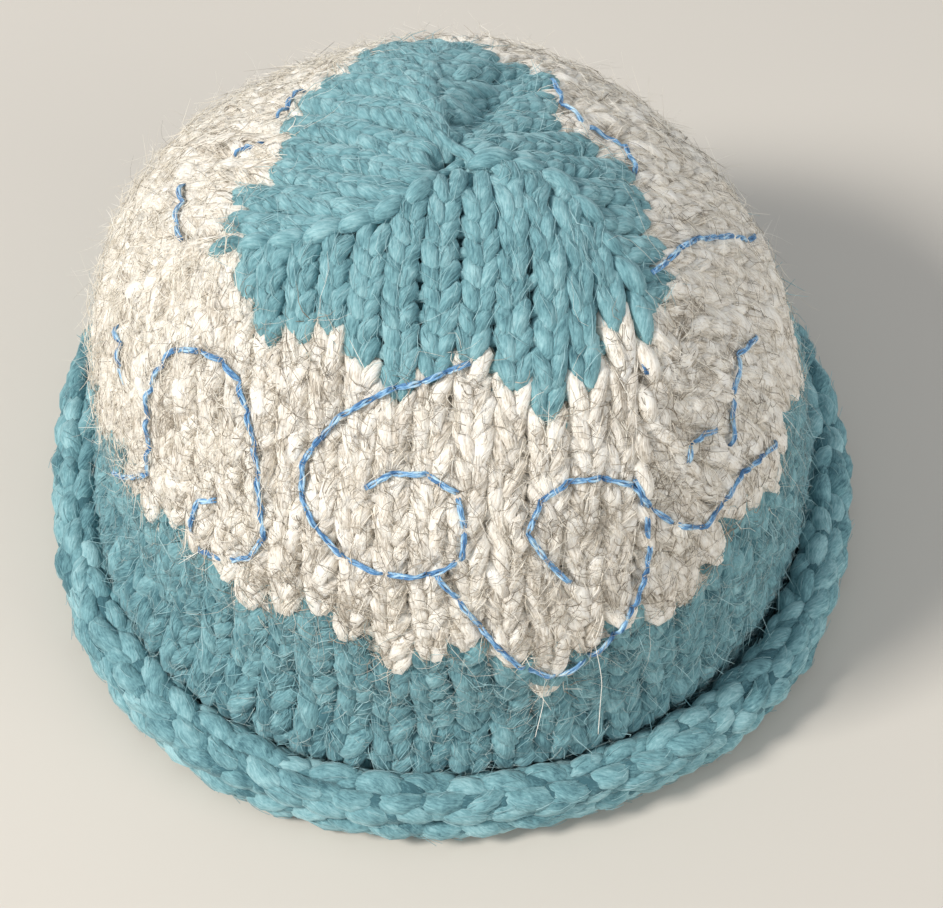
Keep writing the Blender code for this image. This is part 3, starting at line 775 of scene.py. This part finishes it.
def thread_strands(route, seed):
    """Plies of floss side by side along a line of straight stitches, whose ends lie on the route and dip into
    the knitting. Each ply is off the line sideways by the half width times the cosine, and upwards by the
    half height times the sine, of an angle that grows slowly along it and wavers."""
    rng = np.random.default_rng(seed)
    line = smooth_line(route, 12) * [np.pi / 180, 0.001]
    radius = np.interp(line[:, 1], ARC, RADIUS).mean()
    ends = evenly_spaced(line * [radius, 1], THREAD_STITCH)[0]
    ends[1:-1] += rng.normal(0, THREAD_STRAY, ends[1:-1].shape)
    flat, run = evenly_spaced(ends, THREAD_RING)
    stitch = run[-1] / (len(ends) - 1)
    dip = bell(wrapped(run, stitch), THREAD_DIP_HALF_WIDTH)
    lift = THREAD_LIFT + THREAD_WAVE * np.sin(run * 900 + seed) - THREAD_DIP * dip
    middle, outward = fabric_path(flat[:, 0] / radius, flat[:, 1], lift)
    outward = unit(outward)
    aside = unit(np.cross(np.gradient(middle, axis=0), outward))
    ply = np.arange(THREAD_PLIES)[:, None]
    angle = 2 * np.pi * (run / THREAD_TURN + ply / THREAD_PLIES) + 0.5 * np.sin(run * 1400 + 3 * ply)
    path = (middle + THREAD_HALF_WIDTH * np.cos(angle)[..., None] * aside
            + THREAD_HALF_HEIGHT * np.sin(angle)[..., None] * outward)
    # The tone is painted shade where the floss dips into the knitting; along each ply it swings lighter and
    # darker, partly the floss's own mottling and partly painted highlights
    tone = -0.7 * dip + 0.25 * np.cos(2.0 * ply + run * 500)
    return tubes(path, outward + 0 * path, THREAD_PLY * (1 - 0.25 * dip) + 0 * angle, 5, tone)


# Mercerised cotton floss, twisted from bright plies, gives a low silky gloss. The light streaks along them
# are painted into its colour, partly the floss's own mottling and partly painted highlights.
blue_cotton = yarn_material("blue_stranded_cotton", ((0.2, "#3f6c9c"), (0.5, "#70a3d0"), (0.8, "#bcdcee")),
                            across=0.25, along=1.2, relief=0.0001, roughness=0.5, sheen=0.3, tint="#d4e8f6",
                            streaks=1.2, patchy=1.8, glow=0.0)
scrolls = [thread_strands(route, seed) for seed, route in enumerate(SCROLLS)]
add_piece("blue_scroll_embroidery", scrolls, blue_cotton)

# The hairs. The alpaca sheds a pale halo of fine fibres and darker guard hairs, and the wool a short bloom.
# Each is a bare fibre rooted in a stitch, drawn a little thicker than a real one so that it shows.
LEFT_AZIMUTH = np.radians(-105.0)
FRONT_AZIMUTH = 0.0
HAIRY_HALF_DEGREES = 62
EDGE_ROWS = 4

# The least and the most lift of a hair's root, and the arcs that hairs lie between
DEEP_ROOT = (-0.0016, 0.0002)
FLAT_ROOT = (-0.0006, 0.001)
PROUD_ROOT = (0.0, 0.0016)
HAIR_START = 0.002
HAIR_END = FOOT_ARC - 0.004
HAIR_SIDES = 3
HAIR_SPREAD = (0.7, 1.3)
FIBRE_RINGS = 4
ROLL_BLOOM_STRAY = 0.0014
ROLL_BLOOM_HAIR = 0.00007
LONG_HAIR = 0.00009

# Long hairs that hang over the lower band, as azimuth in degrees, and arc and lift in millimetres
LONG_HAIRS = (
    ((25.2, 114, 0.0), (25.6, 124, 2.0), (25.6, 136, 3.5), (24.5, 147, 6.0)),
    ((16.5, 129, 0.0), (17.4, 136, 1.5), (15.8, 147, 3.0)),
)


def fibre_strands(azimuth, arc, rng, length, rise, bend, thickness, points, heading=(0, 10), end=HAIR_END,
                  root=DEEP_ROOT):
    """Fibres that start at the given places, walk over the fabric in a heading that turns steadily and sways,
    leave it as the share of their length to the power 1.6, and taper. Length, rise and root, which is the
    root's lift, are least and most, heading is a mean with its spread, and end is the lowest arc."""
    count = len(azimuth)
    share = np.linspace(0, 1, points)
    first = rng.normal(*heading, count)[:, None]
    turn = rng.normal(0, 1, (count, 1)) * bend
    step = rng.uniform(*length, (count, 1)) / (points - 1)
    away = rng.uniform(0, 1, (count, 1)) ** 2 * (rise[1] - rise[0]) + rise[0]
    now = first + turn * share + 0.5 * np.sin(5 * share + first)
    down = np.cumsum(np.sin(now) * step, axis=1)
    sideways = np.cumsum(np.cos(now) * step, axis=1)
    arc = np.clip(arc[:, None] + down, HAIR_START, end)
    azimuth = azimuth[:, None] + sideways / np.maximum(np.interp(arc, ARC, RADIUS), 0.01)
    lift = rng.uniform(*root, (count, 1)) + away * share**1.6
    radius = thickness * (1.1 - 0.8 * share) * rng.uniform(*HAIR_SPREAD, (count, 1))
    return tubes(*fabric_path(azimuth, arc, lift), radius, HAIR_SIDES, rng.uniform(-1, 1, (count, 1)))


def rooted_fibres(chosen, count, rng, *walk, **more):
    """Fibres that start at random places on the chosen stitches."""
    wedge, column, row = wall[:, rng.choice(np.flatnonzero(chosen), count)]
    column = column + rng.uniform(-0.5, 0.5, count)
    row = row + rng.uniform(-0.6, 0.6, count)
    return fibre_strands(*knitted_place(wedge, column, row), rng, *walk, **more)


def laid_fibres(path, outward, away, angle, radius, rng):
    """Fibres off a strand's middle, by the cosine of an angle sideways and its sine outwards."""
    aside, out = strand_sides(path, outward)
    path = path + away[..., None] * (np.cos(angle)[..., None] * aside + np.sin(angle)[..., None] * out)
    return tubes(path, outward, radius, HAIR_SIDES, rng.uniform(-1, 1, (len(path), 1)))


def strand_fibres(chosen, shape, count, seed, span, stray, thickness):
    """Fibres that lie along the yarn of the chosen stitches and fray from it. Each follows a leg of its
    stitch's loop, off the middle by the yarn's radius and a stray, which grows as the square of the distance
    from a random place."""
    rng = np.random.default_rng(seed)
    stitch = rng.choice(np.flatnonzero(chosen), count)
    s = np.linspace(-1, 1, FIBRE_RINGS)
    middle = np.where(rng.uniform(0, 1, (count, 1)) < 0.5, 0.5, 1.5) * np.pi + rng.normal(0, 0.5, (count, 1))
    turns = middle + span * rng.uniform(0.6, 1.3, (count, 1)) * s
    path, outward, front = loops_of_yarn(stitch, turns, shape)
    angle = rng.uniform(0.1, 0.9, (count, 1)) * np.pi + rng.normal(0, 0.5, (count, 1)) * s
    frayed = stray * rng.uniform(0, 1, (count, 1)) ** 2 * (s + rng.uniform(-1, 1, (count, 1))) ** 2
    away = shape["yarn"] * (0.98 + LEG_SWELL * front) + frayed
    radius = thickness * rng.uniform(*HAIR_SPREAD, (count, 1)) * (1.05 - 0.6 * s * s)
    return laid_fibres(path, outward, away, angle, radius, rng)


def bump_fibres(count, seed):
    """Fibres that lie along the roll's bumps, each on a random one, off its middle by its radius and a stray,
    which grows as the square of the share of the fibre's length."""
    rng = np.random.default_rng(seed)
    middle, half = rng.uniform(-0.6, 0.6, (count, 1)), rng.uniform(0.2, 0.4, (count, 1))
    s = middle + half * np.linspace(-1, 1, FIBRE_RINGS)
    path, outward, radius = purl_bumps(rng.integers(0, len(bump_line), count), s)
    angle = -rng.uniform(0.05, 0.95, (count, 1)) * np.pi + rng.normal(0, 0.5, (count, 1)) * s
    away = radius + ROLL_BLOOM_STRAY * rng.uniform(0, 1, (count, 1)) ** 2 * np.linspace(0, 1, len(s[0])) ** 2
    return laid_fibres(path, outward, away, angle, ROLL_BLOOM_HAIR + 0 * away, rng)


def long_hair(route):
    """A single hair along a curve through its route's points."""
    azimuth, arc, lift = (smooth_line(route, 6) * [np.pi / 180, 0.001, 0.001]).T[:, None]
    return tubes(*fabric_path(azimuth, arc, lift), LONG_HAIR + 0 * arc, HAIR_SIDES, 1.0)


def cream_near(middle, blur, rng):
    """The cream stitches near an azimuth, with an edge blurred by a normal spread in degrees."""
    apart = np.abs(np.degrees(wrapped(wall_azimuth - middle)))
    return in_cream & (apart + rng.normal(0, blur, len(apart)) < HAIRY_HALF_DEGREES)


def fibre_material(name, dark, light, roughness):
    """A bare animal fibre: plain and slightly glossy, its colour between two by its own tone."""
    material, shader = new_material(name, {"Roughness": roughness})
    tree = material.node_tree
    tone = node(tree, "Attribute", {"attribute_name": "tone"}).outputs["Fac"]
    share = node(tree, "Math", {"operation": "MULTIPLY_ADD"}, {1: 0.5, 2: 0.5}, {0: tone})
    colour = node(tree, "Mix", {"data_type": "RGBA"}, {6: linear(dark), 7: linear(light)},
                  {0: share.outputs[0]})
    tree.links.new(colour.outputs[2], shader.inputs["Base Color"])
    return material


# Fine alpaca looks pale and silky, its coarser hairs brown, and the guard hairs dark and glossier. The wool's
# loose ends are a lighter teal than the yarn, and what the alpaca sheds on them is a greyish haze.
pale_fibre = fibre_material("pale_alpaca_fibre", "#e4dccd", "#fdfaf1", 0.6)
brown_fibre = fibre_material("brown_alpaca_fibre", "#786e60", "#c4baab", 0.6)
guard_hair = fibre_material("dark_guard_hair", "#4c4238", "#978a7a", 0.5)
teal_fibre = fibre_material("teal_wool_fibre", "#6d9ea8", "#abced3", 0.7)
haze_fibre = fibre_material("pale_haze_fibre", "#7c9ba1", "#b8cac9", 0.7)

# Loose hairs are given by stitches, count, length, rise, bend, thickness and points
rng = np.random.default_rng(61)
near_edge = in_cream & (wall_row > BAND_TIP_ROW - EDGE_ROWS)
left_cream = cream_near(LEFT_AZIMUTH, 12, rng)
front_cream = cream_near(FRONT_AZIMUTH, 14, rng)
add_piece("pale_strand_fibres", [
    strand_fibres(in_cream, CREAM_LOOP, 3600, seed=81, span=0.9, stray=0.0012, thickness=0.0001),
    strand_fibres(left_cream, CREAM_LOOP, 900, seed=86, span=0.9, stray=0.0022, thickness=0.00009)],
    pale_fibre)
add_piece("brown_strand_fibres", [
    strand_fibres(in_cream, CREAM_LOOP, 1300, seed=82, span=0.9, stray=0.001, thickness=0.00008),
    rooted_fibres(front_cream, 1800, rng, (0.003, 0.009), (0.0001, 0.001), 2.6, 0.0001, 5, root=FLAT_ROOT),
    rooted_fibres(in_cream, 700, rng, (0.004, 0.01), (0.0001, 0.001), 2.6, 0.00007, 5, root=FLAT_ROOT)],
    brown_fibre)
add_piece("pale_alpaca_fibres", [
    rooted_fibres(in_cream, 1500, rng, (0.003, 0.009), (0.0003, 0.003), 2.0, 0.00008, 4, root=FLAT_ROOT),
    rooted_fibres(left_cream, 1500, rng, (0.003, 0.009), (0.0002, 0.003), 2.0, 0.0001, 4, root=PROUD_ROOT),
    rooted_fibres(in_cream, 900, rng, (0.008, 0.02), (0.003, 0.009), 1.2, 0.00005, 6),
    *map(long_hair, LONG_HAIRS)],
    pale_fibre)
add_piece("pale_haze_fibres", [
    rooted_fibres(in_band, 2800, rng, (0.002, 0.007), (0.0002, 0.0018), 2.4, 0.00008, 4,
                  root=(-0.001, 0.0006)),
    rooted_fibres(near_edge, 420, rng, (0.01, 0.024), (0.001, 0.004), 0.8, 0.00005, 7,
                  heading=(np.pi / 2, 0.6))],
    haze_fibre)
add_piece("dark_guard_hairs", [
    rooted_fibres(in_cream, 900, rng, (0.005, 0.014), (0.0008, 0.0034), 2.6, 0.00005, 6),
    rooted_fibres(in_cream, 60, rng, (0.012, 0.026), (0.002, 0.007), 2.6, 0.00005, 9)],
    guard_hair)
add_piece("teal_wall_bloom", [
    strand_fibres(in_crown, CROWN_LOOP, 2600, seed=83, span=0.6, stray=0.0014, thickness=0.00007),
    strand_fibres(in_band, BAND_LOOP, 4600, seed=84, span=0.7, stray=0.0022, thickness=0.00009)],
    teal_fibre)
add_piece("teal_roll_bloom", [
    bump_fibres(2500, seed=85),
    fibre_strands(rng.uniform(0, 2 * np.pi, 1400), rng.uniform(FOOT_ARC + 0.014, ARC[-1], 1400), rng,
                  (0.0015, 0.004), (0.0006, 0.0018), 1.5, 0.00005, 3, end=ARC[-1])],
    teal_fibre)

# The floor, the light and the camera. A plain pale surface, a large soft lamp high on the left, a dim one
# on the right, and a camera 53 degrees above the surface.
FLOOR_CORNERS = ((-3, -3, 0), (3, -3, 0), (3, 3, 0), (-3, 3, 0))
LIGHT_AIM = (0, 0, 0.05)

floor_mesh = bpy.data.meshes.new("floor")
floor_mesh.from_pydata(FLOOR_CORNERS, [], [(0, 1, 2, 3)])
floor = bpy.data.objects.new("floor", floor_mesh)
bpy.context.scene.collection.objects.link(floor)
floor_mesh.materials.append(
    new_material("pale_matt_surface", {"Base Color": linear("#cfcac2"), "Roughness": 0.7})[0])


def stand(thing, place, side, up, back):
    """Puts a lamp or camera at a place, with its own three directions along the given ones."""
    turned = Matrix(np.stack([side, up, back], axis=1).tolist()).to_4x4()
    turned.translation = place
    thing.matrix_world = turned
    bpy.context.scene.collection.objects.link(thing)


def add_lamp(name, place, size, power, colour):
    """A square lamp of the given size, facing the hat."""
    light = bpy.data.lights.new(name, "AREA")
    light.size = size
    light.energy = power
    light.color = linear(colour)[:3]
    lamp = bpy.data.objects.new(name, light)
    back = unit(np.array(place, float) - np.array(LIGHT_AIM, float))
    side = unit(np.cross([0, 0, 1], back))
    stand(lamp, place, side, np.cross(back, side), back)


add_lamp("key_lamp", place=(-1.36, -0.72, 1.4), size=0.45, power=43.0, colour="#fffaf3")
add_lamp("fill_lamp", place=(1.4, -0.8, 0.7), size=1.2, power=10.5, colour="#fff9f0")

world = bpy.data.worlds.new("studio")
world.use_nodes = True
sky = world.node_tree.nodes["Background"]
sky.inputs["Color"].default_value = linear("#d9dee4")
sky.inputs["Strength"].default_value = 0.6
bpy.context.scene.world = world

# The camera's roll is in radians, and its focal length in pixels of the photo
CAMERA_DISTANCE = 0.65
CAMERA_ABOVE = np.radians(53.3)
CAMERA_ROLL = 0.087
CAMERA_AIM = np.array([0.00388, 0.00126, 0.017])
LENS_PIXELS = 2643
PHOTO_WIDTH = 943
SENSOR_WIDTH = 36.0

away = np.array([0, -np.cos(CAMERA_ABOVE), np.sin(CAMERA_ABOVE)])
right = np.array([1.0, 0, 0])
up = np.cross(away, right)
image_right = right * np.cos(CAMERA_ROLL) + up * np.sin(CAMERA_ROLL)
image_up = -right * np.sin(CAMERA_ROLL) + up * np.cos(CAMERA_ROLL)
camera_data = bpy.data.cameras.new("camera")
camera_data.sensor_width = SENSOR_WIDTH
camera_data.lens = SENSOR_WIDTH * LENS_PIXELS / PHOTO_WIDTH
camera_data.clip_start = 0.01
camera = bpy.data.objects.new("camera", camera_data)
stand(camera, CAMERA_AIM + away * CAMERA_DISTANCE, image_right, image_up, away)
bpy.context.scene.camera = camera
bpy.context.scene.view_settings.view_transform = "Standard"
